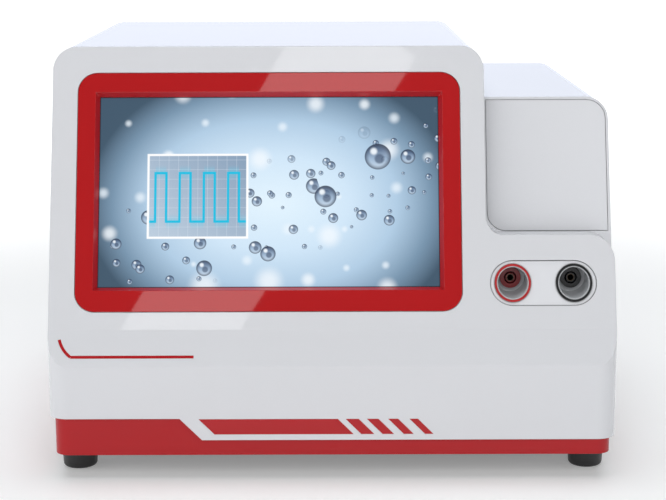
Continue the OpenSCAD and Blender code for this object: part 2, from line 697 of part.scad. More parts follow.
module socket_body(x) difference() {
  union() {
    at_socket(x, head_y) cylinder(r = head_r, h = head_t);
    at_socket(x, head_y + head_t - 1) cylinder(r = barrel_r, h = barrel_end - head_y - head_t + 1);
  }
  at_socket(x, head_y - 1) tube(slot_r, sleeve_r, slot_depth);
  at_socket(x, head_y - 1) cylinder(r = contact_r + seat_gap, h = 60);
}
module socket_body_red() color([0.45, 0.08, 0.1]) socket_body(jack_at[0]);
module socket_body_black() color(c_black) socket_body(jack_at[1]);
contact_y = head_y + 0.5;
tail_y = contact_y + bore_depth + 10;
module socket_contacts() color([0.8, 0.65, 0.3]) for (x = jack_at) difference() {
  at_socket(x, contact_y) cylinder(r = contact_r, h = bore_depth + 10);
  at_socket(x, contact_y - 1) cylinder(r = bore_r, h = bore_depth + 1);
}
module socket_nuts() color(c_steel) for (x = jack_at)
  at_socket(x, head_y + head_t + well_t + 2 * lay_gap) difference() {
    cylinder(r = 9, h = nut_t, $fn = 6);
    translate([0, 0, -eps]) cylinder(r = barrel_r + seat_gap, h = nut_t + 2 * eps);
  }

// Rear panel and what it carries; at_back points out of the back, x as in the front view
module at_back(x, y, z) translate([x, y, z]) rotate([90, 0, 180]) mirror([1, 0, 0]) children();
fan_hole = fan_side - 8.5;
fan_at = [for (s = [-1, 1], t = [-1, 1]) [fan_x + s * fan_hole / 2, fan_z + t * fan_hole / 2]];
fan_bore = fan_side / 2 - 2;
inlet_hole = 40;
inlet_w = 27.5;
inlet_h = 38;
inlet_deep = 28.5;
switch_w = 12.8;
switch_h = 20.6;
plate_t = 2;
vent_x = right - 77;
vent_z = side_h - 57;
vent_h = 50;
vent_pitch = 8;
// Outline of the rear panel, drawn in by e, with a tongue that stands inside the tray
module rear_outline(e) {
  z0 = tray_top + move_gap;
  tongue_in = tray_in + tray_t + tray_r;
  rounded(left + e, z0, tall_x - e, body_h - e, [0, 0, top_r - e, top_r - e]);
  rounded(tall_x - lap, z0, right - e, side_h - e, [0, 0, side_r - e, 0]);
  translate([left + tongue_in, foot_h + tray_rise / 2])
    square([body_w - 2 * tongue_in, tray_rise / 2 + move_gap + 1]);
}
module rear_panel() color([0.78, 0.79, 0.8]) along_y(panel_in, rear_in) difference() {
  rear_outline(wall + move_gap);
  for (p = lug_at) translate(p) circle(screw_r + hole_gap);
  translate([fan_x, fan_z]) circle(fan_bore - 1);
  for (p = fan_at) translate(p) circle(fan_screw_r + hole_gap);
  translate([inlet_x, inlet_z]) square([inlet_w + 0.4, inlet_h + 0.4], center = true);
  for (s = [-1, 1]) translate([inlet_x + s * inlet_hole / 2, inlet_z]) circle(screw_r + hole_gap);
  translate([switch_x, inlet_z]) square([switch_w + 0.4, switch_h + 0.4], center = true);
  for (i = [-5 : 5]) translate([vent_x + i * vent_pitch, vent_z]) slot(vent_w, vent_h);
}
module panel_screws() color(c_steel) for (p = lug_at) translate([p[0], rear_in + seat_gap, p[1]])
  rotate([90, 0, 0]) screw(screw_r, pan_r, pan_h, 8);

// The mains inlet's face stands plate_t proud of the panel
cavity_w = 24.7;
cavity_h = 16.6;
cavity_z = inlet_z - 8;
cavity_deep = 15.5;
cavity_cut = 4;
bay_w = 23.6;
bay_h = 10.4;
bay_z = inlet_z + 11.5;
bay_deep = 26;
inlet_face = rear_in + seat_gap + plate_t;
blade_w = 2;
blade_h = 4;
blade_at = [[-7, -2], [0, 2], [7, -2]];
module cavity_outline() polygon([[-cavity_w / 2, -cavity_h / 2], [cavity_w / 2, -cavity_h / 2],
  [cavity_w / 2, cavity_h / 2 - cavity_cut], [cavity_w / 2 - cavity_cut, cavity_h / 2],
  [-cavity_w / 2 + cavity_cut, cavity_h / 2], [-cavity_w / 2, cavity_h / 2 - cavity_cut]]);
module mains_inlet() color(c_black) difference() {
  union() {
    along_y(rear_in + seat_gap, inlet_face) translate([inlet_x, inlet_z]) centred(50, inlet_h + 4, 4);
    along_y(inlet_face - inlet_deep - plate_t, inlet_face - 1) translate([inlet_x, inlet_z])
      square([inlet_w, inlet_h], center = true);
  }
  along_y(inlet_face - cavity_deep, inlet_face + 1) translate([inlet_x, cavity_z]) cavity_outline();
  along_y(inlet_face - bay_deep, inlet_face + 1) translate([inlet_x, bay_z])
    square([bay_w, bay_h], center = true);
  for (b = blade_at) along_y(inlet_face - 60, inlet_face - 2) translate([inlet_x + b[0], cavity_z + b[1]])
    square([blade_w + 2 * seat_gap, blade_h + 2 * seat_gap], center = true);
  for (s = [-1, 1]) along_y(rear_in - 1, inlet_face + 1) translate([inlet_x + s * inlet_hole / 2, inlet_z])
    circle(screw_r + hole_gap);
}
blade_tail = inlet_face - inlet_deep - plate_t - 7;
module inlet_blades() color(c_steel) for (b = blade_at) along_y(blade_tail, inlet_face - 2.5)
  translate([inlet_x + b[0], cavity_z + b[1]]) square([blade_w, blade_h], center = true);
module inlet_screws() color(c_steel) for (s = [-1, 1])
  translate([inlet_x + s * inlet_hole / 2, inlet_face + seat_gap, inlet_z]) rotate([90, 0, 0])
    screw(screw_r, 2.7, 1.6, 8);

// Fuse drawer with a pocket for each fuse
fuse_r = 2.6;
fuse_len = 20;
fuse_x = [-6, 6];
drawer_w = bay_w - 2 * move_gap;
drawer_h = bay_h - 2 * move_gap;
drawer_lip = 1.6;
fuse_y = inlet_face - fuse_len - 1.5;
module fuse_drawer() color(c_black) difference() {
  union() {
    along_y(inlet_face - bay_deep + 1, inlet_face + 1) translate([inlet_x, bay_z])
      square([drawer_w, drawer_h], center = true);
    along_y(inlet_face + move_gap, inlet_face + move_gap + drawer_lip) translate([inlet_x, bay_z])
      centred(bay_w + 3, bay_h + 1.4, 1);
  }
  for (x = fuse_x) {
    translate([inlet_x + x, fuse_y, bay_z]) rotate([-90, 0, 0])
      cylinder(r = fuse_r + eps, h = fuse_len + 2 * eps);
    translate([inlet_x + x - fuse_r - eps, fuse_y, bay_z])
      cube([2 * (fuse_r + eps), fuse_len + 2 * eps, bay_h]);
  }
}
fuse_cap = 5.5;
module fuses() color(c_steel) for (x = fuse_x)
  translate([inlet_x + x, fuse_y + eps, bay_z]) rotate([-90, 0, 0]) {
    cylinder(r = fuse_r, h = fuse_cap);
    cylinder(r = fuse_r - 0.2, h = fuse_len - 1);
    translate([0, 0, fuse_len - fuse_cap]) cylinder(r = fuse_r, h = fuse_cap);
  }

// Rocker switch: the rocker turns on its own trunnions
rocker_w = 10;
rocker_half = 7.2;
rocker_rise = 4.5;
rocker_y = rear_in - 3;
trunnion_r = 1.2;
trunnion_gap = 0.05;
switch_deep = 17;
switch_rim_t = 1.6;
tab_len = 7;
tab_z = 6;
module switch_frame() color(c_black) difference() {
  union() {
    along_y(rear_in + seat_gap, rear_in + seat_gap + switch_rim_t) translate([switch_x, inlet_z])
      centred(switch_w + 3, switch_h + 3, 1.5);
    along_y(rear_in - switch_deep, rear_in + 1) translate([switch_x, inlet_z])
      square([switch_w, switch_h], center = true);
    for (t = [-1, 1]) along_y(rear_in - switch_deep - tab_len, rear_in - switch_deep + 1)
      translate([switch_x, inlet_z + t * tab_z]) square([0.8, 4.8], center = true);
  }
  along_y(rocker_y - 8, rear_in + 5) translate([switch_x, inlet_z])
    square([rocker_w + 0.6, 2 * rocker_half + 2.4], center = true);
  translate([switch_x, rocker_y, inlet_z]) rotate([0, 90, 0])
    cylinder(r = trunnion_r + trunnion_gap, h = switch_w + 2, center = true);
}
module switch_rocker() color([0.2, 0.2, 0.22])
  translate([switch_x, rocker_y, inlet_z]) rotate([-rocker_tilt, 0, 0]) {
    along_x(-rocker_w / 2, rocker_w / 2) polygon([[0, -rocker_half], [rocker_rise, -rocker_half],
      [rocker_rise - 1.4, 0], [rocker_rise, rocker_half], [0, rocker_half], [-3, 2], [-3, -2]]);
    rotate([0, 90, 0]) cylinder(r = trunnion_r, h = switch_w - 0.6, center = true);
  }

// Fan: the frame's hub holds a bearing, and the rotor's shaft runs in it
fan_in = panel_in - seat_gap - fan_t;
hub_r = 17;
bearing_r = 4;
shaft_r = 1.5;
shaft_gap = 0.05;
module fan_frame() color(c_black) difference() {
  union() {
    along_y(fan_in, fan_in + fan_t) translate([fan_x, fan_z]) difference() {
      centred(fan_side, fan_side, 4);
      circle(fan_bore);
    }
    along_y(fan_in, fan_in + 4) translate([fan_x, fan_z]) {
      circle(hub_r);
      for (t = [45 : 90 : 315]) rotate(t) translate([hub_r - 1, -2]) square([fan_bore - hub_r + 2, 4]);
    }
    along_y(fan_in + 3, fan_in + fan_t - 6) translate([fan_x, fan_z]) circle(bearing_r);
  }
  along_y(fan_in + 1.5, fan_in + fan_t) translate([fan_x, fan_z]) circle(shaft_r + shaft_gap);
  along_y(fan_in - 1, fan_in + fan_t + 1) for (p = fan_at) translate(p) circle(fan_screw_r + thread_gap);
}
stator_r = 13;
module fan_stator() color([0.65, 0.35, 0.15]) difference() {
  along_y(fan_in + 4 + seat_gap, fan_in + fan_t - 8) translate([fan_x, fan_z]) difference() {
    circle(stator_r);
    circle(bearing_r + seat_gap);
  }
  along_y(fan_in + 7, fan_in + fan_t - 10) translate([fan_x, fan_z]) for (t = [0 : 90 : 270]) rotate(t)
    translate([stator_r - 3, -2]) square([6, 4]);
}
blades = 7;
module fan_rotor() color([0.16, 0.16, 0.17]) {
  along_y(fan_in + 5.5, fan_in + fan_t - 3) translate([fan_x, fan_z]) difference() {
    circle(hub_r);
    circle(hub_r - 1.8);
  }
  along_y(fan_in + fan_t - 5, fan_in + fan_t - 3) translate([fan_x, fan_z]) circle(hub_r);
  along_y(fan_in + 2.5, fan_in + fan_t - 4) translate([fan_x, fan_z]) circle(shaft_r);
  translate([fan_x, fan_in + 6, fan_z]) rotate([-90, 0, 0]) intersection() {
    tube(fan_bore - 1.2, hub_r - 0.6, fan_t - 9.5);
    for (i = [0 : blades - 1]) rotate(i * 360 / blades) translate([fan_bore / 2, 0, (fan_t - 9.5) / 2])
      rotate([52, 0, 0]) cube([fan_bore + 4, 26, 1.4], center = true);
  }
}
// Guard: wire rings on two crossed bars with an eye at each screw
guard_wire = 1.8;
guard_h = 2;
guard_eye_r = 4.4;
module fan_guard() color(c_steel) at_back(fan_x, rear_in + seat_gap, fan_z) difference() {
  union() {
    for (r = [10 : 7 : 38]) tube(r + guard_wire / 2, r - guard_wire / 2, guard_h - 0.6);
    for (t = [45, 135]) rotate(t) translate([-fan_hole / sqrt(2), -1.2, 0.6])
      cube([fan_hole * sqrt(2), 2.4, guard_h - 0.6]);
    for (s = [-1, 1], t = [-1, 1]) translate([s * fan_hole / 2, t * fan_hole / 2, 0])
      cylinder(r = guard_eye_r, h = guard_h);
  }
  for (s = [-1, 1], t = [-1, 1]) translate([s * fan_hole / 2, t * fan_hole / 2, -1])
    cylinder(r = fan_screw_r + hole_gap, h = guard_h + 2);
}
fan_screw_r = 2;
module fan_screws() color(c_steel) for (p = fan_at)
  translate([p[0], rear_in + 2 * seat_gap + guard_h, p[1]]) rotate([90, 0, 0])
    screw(fan_screw_r, 3.6, 2.2, 16);

// Boards stand on spacers in the tray
board_z = floor_z + board_lift;
pulse_at = [left + 25, front + 100, right - 185, back - 100];
supply_at = [right - 110, back - 210, right - 17, back - 58];
board_top = board_z + board_t;
terminal_x = pulse_at[2] - 14;
terminal_y = [pulse_at[1] + 22, pulse_at[1] + 42];
terminal_h = 14;
relay_x = [for (i = [0 : 4]) pulse_at[0] + 10 + 22 * i];
function corners(b, e) = [for (x = [b[0] + e, b[2] - e], y = [b[1] + e, b[3] - e]) [x, y]];
board_holes = concat(corners(pulse_at, 6), corners(supply_at, 6));
module board(b) translate([0, 0, board_z]) linear_extrude(board_t) difference() {
  translate([b[0], b[1]]) square([b[2] - b[0], b[3] - b[1]]);
  for (p = corners(b, 6)) translate(p) circle(screw_r + hole_gap);
}
module pulse_board() color(c_board) {
  board(pulse_at);
  for (y = terminal_y) translate([terminal_x - 8, y - 6, board_top - eps]) cube([16, 12, terminal_h]);
  for (x = relay_x) translate([x, pulse_at[3] - 20, board_top - eps]) cube([14, 9, 8]);
}
module supply_board() color(c_board) board(supply_at);
module board_spacers() color(c_steel) for (p = board_holes) translate([p[0], p[1], floor_z + seat_gap])
  difference() {
    cylinder(r = 3.2, h = board_lift - 2 * seat_gap, $fn = 6);
    translate([0, 0, -eps]) cylinder(r = screw_r + thread_gap, h = board_lift + 1);
  }
module board_screws() color(c_steel) for (p = board_holes) {
  translate([p[0], p[1], board_top + seat_gap]) mirror([0, 0, 1]) screw(screw_r, pan_r, pan_h, 6);
  translate([p[0], p[1], foot_h - seat_gap]) screw(screw_r, pan_r, pan_h, 6);
}
// As many columns of capacitors as the board takes beside its terminals
cap_pitch = 2 * cap_r + 4;
cap_cols = floor((pulse_at[2] - pulse_at[0] - 40) / cap_pitch);
caps_x = [for (i = [0 : cap_cols - 1]) pulse_at[0] + 25 + i * cap_pitch];
caps_y = [pulse_at[1] + 28, pulse_at[1] + 28 + cap_pitch];
module capacitor_bank() color([0.13, 0.15, 0.25]) for (x = caps_x, y = caps_y)
  translate([x, y, board_top + seat_gap]) difference() {
    cylinder(r = cap_r, h = cap_h);
    translate([0, 0, cap_h - 1]) cylinder(r = cap_r - 1.5, h = 2);
    translate([0, 0, 4]) tube(cap_r + 1, cap_r - 0.8, 1.6);
  }
sink_at = [right - 171, pulse_at[1], floor_z + seat_gap];
sink_len = pulse_at[3] - pulse_at[1] - 10;
sink_h = 80;
sink_top = sink_at[2] + sink_h;
sink_base = 8;
sink_fin = 34;
sink_fin_t = 2;
module heat_sink() color([0.72, 0.73, 0.75]) translate(sink_at) {
  cube([sink_base, sink_len, sink_h]);
  for (i = [0 : fins - 1]) translate([sink_base - eps, 0, i * (sink_h - sink_fin_t) / (fins - 1)])
    cube([sink_fin, sink_len, sink_fin_t]);
}
module_size = [12, 25, 38];
module_y = [for (t = [0.25, 0.65]) sink_at[1] + t * sink_len];
module switching_modules() color(c_black) for (y = module_y)
  translate([sink_at[0] - module_size[0] - seat_gap, y, sink_at[2] + 26]) difference() {
    cube(module_size);
    for (z = [6, module_size[2] - 6]) translate([-1, module_size[1] / 2, z]) rotate([0, 90, 0])
      cylinder(r = 3.5, h = 6);
  }
// Resistor in a ribbed case on a foot plate
resistor = [72, 28, 20];
rib_pitch = 10;
module discharge_resistor() color([0.75, 0.6, 0.3])
  translate([left + 35, front + 46, floor_z + seat_gap]) {
    translate([0, 5, 0]) cube(resistor - [0, 10, 0]);
    cube([resistor[0], resistor[1], 3]);
    for (i = [0 : 6]) translate([4 + i * rib_pitch, 3, 0]) cube([4, resistor[1] - 6, resistor[2] - 2]);
  }
core_size = [50, 42, 46];
core_gap = 30;
core_at = [supply_at[0] + 7, supply_at[1] - core_gap - core_size[1], floor_z + seat_gap];
leg = 12;
module transformer_core() color([0.2, 0.2, 0.21]) translate(core_at) difference() {
  cube(core_size);
  for (x = [leg * 0.8, core_size[0] / 2 + leg / 2]) translate([x, -1, leg * 0.8])
    cube([core_size[0] / 2 - leg * 1.3, core_size[1] + 2, core_size[2] - leg * 1.6]);
}
module transformer_winding() color([0.75, 0.6, 0.2])
  translate([core_at[0] + core_size[0] / 2, core_at[1] + core_size[1] / 2, core_at[2] + leg * 0.8 + 0.5])
    linear_extrude(core_size[2] - leg * 1.6 - 1) difference() {
      centred(core_size[0] - leg * 1.6 - 1, core_size[1] + 20, 7);
      square([leg + 0.6, core_size[1] + 0.6], center = true);
    }
module supply_parts() color([0.8, 0.75, 0.5])
  translate([supply_at[0], supply_at[1], board_top + seat_gap]) {
    translate([12, 20, 0]) cube([38, 34, 30]);
    for (i = [0, 1]) translate([70, 24 + i * 30, 0]) cylinder(r = 12.5, h = 36);
    translate([14, 80, 0]) cube([26, 30, 24]);
    translate([60, 84, 0]) cube([20, 34, 26]);
    translate([46, 128, 0]) cylinder(r = 8, h = 14);
  }

// Wires, along points chosen by hand from the pieces that they join
lead_r = 2;
lead_y = sink_at[1] - 2;
module output_lead_red() color(c_red) lead([[jack_at[0], tail_y + seat_gap, jack_z],
  [jack_at[0], tail_y + 8, jack_z], [right - 81, lead_y, jack_z - 10], [right - 119, lead_y - 8, jack_z - 18],
  [sink_at[0] + 10, lead_y - 12, jack_z - 42], [terminal_x + 8, lead_y - 8, board_top + 32],
  [terminal_x, terminal_y[0], board_top + terminal_h + 8],
  [terminal_x, terminal_y[0], board_top + terminal_h]], lead_r, 8, 4);
module output_lead_black() color(c_black) lead([[jack_at[1], tail_y + seat_gap, jack_z],
  [jack_at[1], tail_y + 8, jack_z], [right - 51, lead_y + 6, jack_z],
  [right - 101, lead_y + 6, sink_top + 24], [sink_at[0] + 16, lead_y + 2, sink_top + 14],
  [terminal_x + 12, lead_y + 10, sink_top - 6],
  [terminal_x, terminal_y[1], board_top + terminal_h + 12],
  [terminal_x, terminal_y[1], board_top + terminal_h]], lead_r, 8, 4);
wire_r = 1.2;
module mains_wires() color([0.35, 0.25, 0.15]) {
  tab_y = rear_in - switch_deep - tab_len - seat_gap;
  wire_y = supply_at[3];
  lead([[inlet_x - 7, blade_tail - seat_gap, cavity_z - 2], [inlet_x - 7, blade_tail - 8, cavity_z - 2],
    [inlet_x - 25, wire_y + 6, inlet_z], [switch_x + 9, wire_y + 20, inlet_z - 4],
    [switch_x, tab_y - 8, inlet_z - tab_z], [switch_x, tab_y, inlet_z - tab_z]], wire_r, 6, 3);
  lead([[switch_x, tab_y, inlet_z + tab_z], [switch_x, tab_y - 8, inlet_z + tab_z],
    [switch_x + 3, wire_y + 6, inlet_z], [switch_x + 13, wire_y - 10, inlet_z - 22],
    [switch_x + 15, wire_y - 12, board_top + 8], [switch_x + 15, wire_y - 12, board_top + seat_gap]],
    wire_r, 6, 3);
  lead([[inlet_x + 7, blade_tail - seat_gap, cavity_z - 2], [inlet_x + 7, blade_tail - 8, cavity_z - 2],
    [inlet_x + 3, wire_y - 4, inlet_z - 22], [inlet_x - 1, wire_y - 8, board_top + 8],
    [inlet_x - 1, wire_y - 8, board_top + seat_gap]], wire_r, 6, 3);
}
fan_wire_r = 0.8;
module fan_wires() color(c_red) for (s = [-1, 1]) lead([
  [fan_x + 30, fan_in - seat_gap, fan_z - 34 + 2 * s], [fan_x + 30, fan_in - 8, fan_z - 34 + 2 * s],
  [left + 175, back - 60 + 2 * s, fan_z - 55], [right - 135, back - 80 + 2 * s, board_top + 38],
  [supply_at[0] + 8, supply_at[3] - 30 + 3 * s, board_top + 8],
  [supply_at[0] + 8, supply_at[3] - 30 + 3 * s, board_top + seat_gap]], fan_wire_r, 6, 4);

front_shell();
rear_cover();
base_tray();
rear_panel();
screen_bezel();
touch_glass();
display_panel();
display_bracket();
bracket_screws();
control_board();
control_spacers();
ribbon_cable();
notice_plate();
jack_plate();
socket_ring_red();
socket_ring_black();
socket_wells();
socket_body_red();
socket_body_black();
socket_contacts();
socket_nuts();
chin_stripes();
accent_line();
feet();
foot_screws();
housing_screws();
panel_screws();
mains_inlet();
inlet_blades();
inlet_screws();
fuse_drawer();
fuses();
switch_frame();
switch_rocker();
fan_frame();
fan_stator();
fan_rotor();
fan_guard();
fan_screws();
pulse_board();
capacitor_bank();
board_spacers();
board_screws();
heat_sink();
switching_modules();
discharge_resistor();
transformer_core();
transformer_winding();
supply_board();
supply_parts();
output_lead_red();
output_lead_black();
mains_wires();
fan_wires();
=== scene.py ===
import math

import bpy
from mathutils import Matrix, Vector


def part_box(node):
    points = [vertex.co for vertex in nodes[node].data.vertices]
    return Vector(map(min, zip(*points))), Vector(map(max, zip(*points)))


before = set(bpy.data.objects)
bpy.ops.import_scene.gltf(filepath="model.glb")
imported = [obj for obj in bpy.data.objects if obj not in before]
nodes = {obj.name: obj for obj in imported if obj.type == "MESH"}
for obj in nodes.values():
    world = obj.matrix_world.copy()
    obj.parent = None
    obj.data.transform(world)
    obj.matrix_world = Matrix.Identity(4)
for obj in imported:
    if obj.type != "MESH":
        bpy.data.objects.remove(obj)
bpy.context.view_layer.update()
scene = bpy.context.scene
scene.view_settings.view_transform = "Standard"

# The leaning face: its bend line, the direction up the face and the one out of it, in metres
LEAN = math.radians(19.2)
BEND = Vector((0, -0.1562, 0.0976))
UP = Vector((0, math.sin(LEAN), math.cos(LEAN)))
OUT = Vector((0, -math.cos(LEAN), math.sin(LEAN)))

# The screen: where its middle lies across the part and up the face, its size, and the lit panel's dark border
SCREEN_X, SCREEN_S = -0.04155, 0.0921
SCREEN_W, SCREEN_H = 0.2245, 0.1274
SCREEN_BORDER = 0.0004
SCREEN_GLOW = 0.93

# The framed plot on it, from the screen's middle: left, low, right and high side, frame and grid
PLOT = (-0.079, -0.030, -0.015, 0.024)
PLOT_FRAME = 0.0014
PLOT_GRID = 0.0064
# Its square pulses: start from the plot's left side, period, the share of it that is high, the two levels, and
# half the line's width
PULSE_START, PULSE_PERIOD, PULSE_DUTY = 0.004, 0.016, 0.45
PULSE_LOW, PULSE_HIGH, PULSE_HALF = -0.02, 0.0125, 0.0008

# How far a bevelled edge turns the normal where wear starts and where it is full, as cosines
WEAR_START, WEAR_FULL = 0.998, 0.9


def linear(rgb):
    """sRGB values of 0 to 255 as the linear colour that Blender wants."""
    return tuple((c / 255 / 12.92) if c <= 10.3 else ((c / 255 + 0.055) / 1.055) ** 2.4 for c in rgb) + (1,)


def scaled(colour, factor):
    return tuple(min(1, c * factor) for c in colour[:3]) + (1,)


def whiter(colour, share):
    return tuple(c + (1 - c) * share for c in colour[:3]) + (1,)


class Graph:
    """Short calls that add nodes to a node tree. An input takes either a socket, which is linked, or a value."""

    def __init__(self, tree):
        self.tree = tree

    def node(self, kind, **settings):
        made = self.tree.nodes.new(kind)
        for key, value in settings.items():
            setattr(made, key, value)
        return made

    def put(self, socket, value):
        if isinstance(value, bpy.types.NodeSocket):
            self.tree.links.new(value, socket)
        else:
            socket.default_value = value

    def math(self, operation, a, b=0.0, c=0.0):
        made = self.node("ShaderNodeMath", operation=operation)
        for socket, value in zip(made.inputs, (a, b, c)):
            self.put(socket, value)
        return made.outputs[0]

    def vector(self, operation, a, b=(0, 0, 0)):
        made = self.node("ShaderNodeVectorMath", operation=operation)
        self.put(made.inputs[0], a)
        self.put(made.inputs[1], b)
        return made.outputs["Value" if operation in ("DOT_PRODUCT", "LENGTH") else "Vector"]

    def scale(self, vector, factor):
        made = self.node("ShaderNodeVectorMath", operation="SCALE")
        self.put(made.inputs[0], vector)
        self.put(made.inputs["Scale"], factor)
        return made.outputs[0]

    def apart(self, vector):
        made = self.node("ShaderNodeSeparateXYZ")
        self.put(made.inputs[0], vector)
        return made.outputs

    def join(self, x, y, z=0.0):
        made = self.node("ShaderNodeCombineXYZ")
        for socket, value in zip(made.inputs, (x, y, z)):
            self.put(socket, value)
        return made.outputs[0]

    def span(self, value, low, high, to_low=0.0, to_high=1.0, smooth=False):
        """A value from low to high as one from to_low to to_high, clamped."""
        made = self.node("ShaderNodeMapRange", interpolation_type="SMOOTHSTEP" if smooth else "LINEAR")
        for key, x in (("Value", value), ("From Min", low), ("From Max", high), ("To Min", to_low),
                       ("To Max", to_high)):
            self.put(made.inputs[key], x)
        return made.outputs[0]

    def mix(self, factor, a, b, blend="MIX"):
        # 6, 7 and 2 are the colour sockets of Blender's Mix node
        made = self.node("ShaderNodeMix", data_type="RGBA", blend_type=blend)
        self.put(made.inputs["Factor"], factor)
        self.put(made.inputs[6], a)
        self.put(made.inputs[7], b)
        return made.outputs[2]

    def ramp(self, value, *stops):
        made = self.node("ShaderNodeValToRGB")
        self.put(made.inputs[0], value)
        band = made.color_ramp.elements
        while len(band) < len(stops):
            band.new(1.0)
        for element, (place, colour) in zip(band, stops):
            element.position = place
            element.color = colour
        return made.outputs[0]


class Shader(Graph):
    """A node material with one Principled shader. Its patterns stay in place on the object."""

    def __init__(self, name, **constants):
        self.material = bpy.data.materials.new(name)
        self.material.use_nodes = True
        super().__init__(self.material.node_tree)
        self.bsdf = self.tree.nodes["Principled BSDF"]
        self.spot = self.node("ShaderNodeTexCoord").outputs["Object"]
        self.set(**constants)

    def set(self, **values):
        """Sets inputs of the Principled shader, named with _ for each space."""
        for key, value in values.items():
            self.put(self.bsdf.inputs[key.replace("_", " ")], value)

    def stretch(self, scale):
        made = self.node("ShaderNodeMapping")
        self.put(made.inputs["Vector"], self.spot)
        made.inputs["Scale"].default_value = scale
        return made.outputs[0]

    def noise(self, scale, detail=2.0, rough=0.5, at=None):
        made = self.node("ShaderNodeTexNoise")
        self.put(made.inputs["Vector"], self.spot if at is None else at)
        made.inputs["Scale"].default_value = scale
        made.inputs["Detail"].default_value = detail
        made.inputs["Roughness"].default_value = rough
        return made.outputs["Fac"]

    def cells(self, scale):
        made = self.node("ShaderNodeTexVoronoi", feature="F1")
        self.put(made.inputs["Vector"], self.spot)
        made.inputs["Scale"].default_value = scale
        return made.outputs["Distance"]

    def bump(self, height, strength, distance, normal):
        made = self.node("ShaderNodeBump")
        made.inputs["Strength"].default_value = strength
        made.inputs["Distance"].default_value = distance
        self.put(made.inputs["Height"], height)
        self.put(made.inputs["Normal"], normal)
        return made.outputs[0]

    def facing(self, normal, way):
        """The cosine between one of the surface's normals and a direction."""
        return self.vector("DOT_PRODUCT", self.node("ShaderNodeNewGeometry").outputs[normal], way)

    def wear(self, radius):
        """The normal with its edges rounded by radius, and where those edges are rubbed, from 0 to 1."""
        rounded = self.node("ShaderNodeBevel", samples=6)
        rounded.inputs["Radius"].default_value = radius
        soft = rounded.outputs[0]
        turned = self.span(self.facing("True Normal", soft), WEAR_START, WEAR_FULL)
        return soft, self.math("MULTIPLY", turned, self.span(self.noise(140, 3), 0.4, 0.7))

    def shade(self, distance, left):
        """Painted shade: a grey, from ambient occlusion, that falls from 1 to left beside a step, within distance.
        """
        corner = self.node("ShaderNodeAmbientOcclusion", samples=12)
        corner.inputs["Distance"].default_value = distance
        level = self.span(corner.outputs["AO"], 0.5, 0.95, left, 1.0)
        grey = self.node("ShaderNodeCombineColor")
        for socket in grey.inputs:
            self.put(socket, level)
        return grey.outputs[0]

    def scatter(self, place, pitch, least, most, soft, share, shift):
        """Round spots strewn over a plane: their cover, and for each spot the way out (0 to 1), middle and radius.

        pitch: the mean distance apart, in metres; least, most: the radii, as shares of it; soft: the share of
        a radius over which a spot fades; share: how many of the spots are kept; shift: picks another pattern."""
        grid = self.node("ShaderNodeTexVoronoi", voronoi_dimensions="2D", feature="F1")
        at = self.vector("ADD", self.vector("MULTIPLY", place, (1 / pitch,) * 3), (shift, shift, 0))
        self.put(grid.inputs["Vector"], at)
        grid.inputs["Scale"].default_value = 1
        grid.inputs["Randomness"].default_value = 0.75
        chance = self.apart(grid.outputs["Color"])
        radius = self.span(self.math("POWER", chance[0], 1.6), 0, 1, least, most)
        out = self.math("DIVIDE", grid.outputs["Distance"], radius)
        cover = self.span(out, 1.0, 1 - soft, smooth=True)
        kept = self.math("LESS_THAN", chance[1], share)
        unshifted = self.vector("SUBTRACT", grid.outputs["Position"], (shift, shift, 0))
        middle = self.vector("MULTIPLY", unshifted, (pitch,) * 3)
        return self.math("MULTIPLY", cover, kept), out, middle, self.math("MULTIPLY", radius, pitch)


def moulded(name, rgb, rough, coat=0.0, coat_rough=0.05, grain=2600, depth=0.00002, tint=0.03, radius=0.0006,
            shine=0.5, rub=0.35, front=None, below=None, painted_shade=None):
    """Moulded or painted surface: clouded colour, fine grain, soft edges with a little wear, and an uneven gloss.

    front: a dark colour painted as shade on the faces that don't look out of the leaning front, such as a plate's
    sides in its groove; below: one for those that look down;
    painted_shade: painted shade beside a step, from ambient occlusion: how far it reaches, in metres, and how much
    of the colour is left there."""
    s = Shader(name, Coat_Weight=coat, Coat_Roughness=coat_rough, Specular_IOR_Level=shine)
    base = linear(rgb)
    cloud = s.mix(s.noise(9, 3), scaled(base, 1 - tint), scaled(base, 1 + tint))
    colour = s.mix(s.span(s.noise(grain * 0.6, 1), 0.35, 0.65, 0, 0.5), cloud, base)
    soft, worn = s.wear(radius)
    colour = s.mix(s.math("MULTIPLY", worn, rub), colour, whiter(base, 0.25))
    if front is not None:
        # Painted shade: faces that don't look out of the leaning front, such as a plate's sides in its groove, are
        # coloured dark
        colour = s.mix(s.span(s.facing("True Normal", tuple(OUT)), 0.5, 0.8), linear(front), colour)
    if below is not None:
        colour = s.mix(s.span(s.facing("True Normal", (0, 0, -1)), 0.8, 0.95), colour, linear(below))
    # Painted shade: the colour is darkened beside a step
    if painted_shade is not None:
        colour = s.mix(1.0, colour, s.shade(*painted_shade), "MULTIPLY")
    uneven = s.span(s.noise(grain * 0.15, 2), 0.3, 0.7, rough * 0.9, rough * 1.1)
    s.set(Base_Color=colour, Roughness=s.math("MULTIPLY_ADD", worn, -0.12, uneven),
          Normal=s.bump(s.noise(grain, 2), 0.5, depth, soft))
    if coat:
        s.set(Coat_Normal=soft)
    return s.material


def metal(name, rgb, rough, brushed=(1, 1, 1), scale=900, radius=0.0002, tint=0.08):
    """Bare or plated metal with fine marks along one direction, and bright rubbed edges."""
    s = Shader(name, Metallic=1.0)
    base = linear(rgb)
    marks = s.noise(scale, 4, 0.6, s.stretch(brushed))
    soft, worn = s.wear(radius)
    clouded = s.mix(s.noise(40, 3), scaled(base, 1 - tint), base)
    uneven = s.span(marks, 0.3, 0.7, rough * 0.8, rough * 1.25)
    s.set(Base_Color=s.mix(s.math("MULTIPLY", worn, 0.6), clouded, whiter(base, 0.35)),
          Roughness=s.math("MULTIPLY_ADD", worn, -0.1, uneven), Normal=s.bump(marks, 0.25, 0.00002, soft))
    return s.material


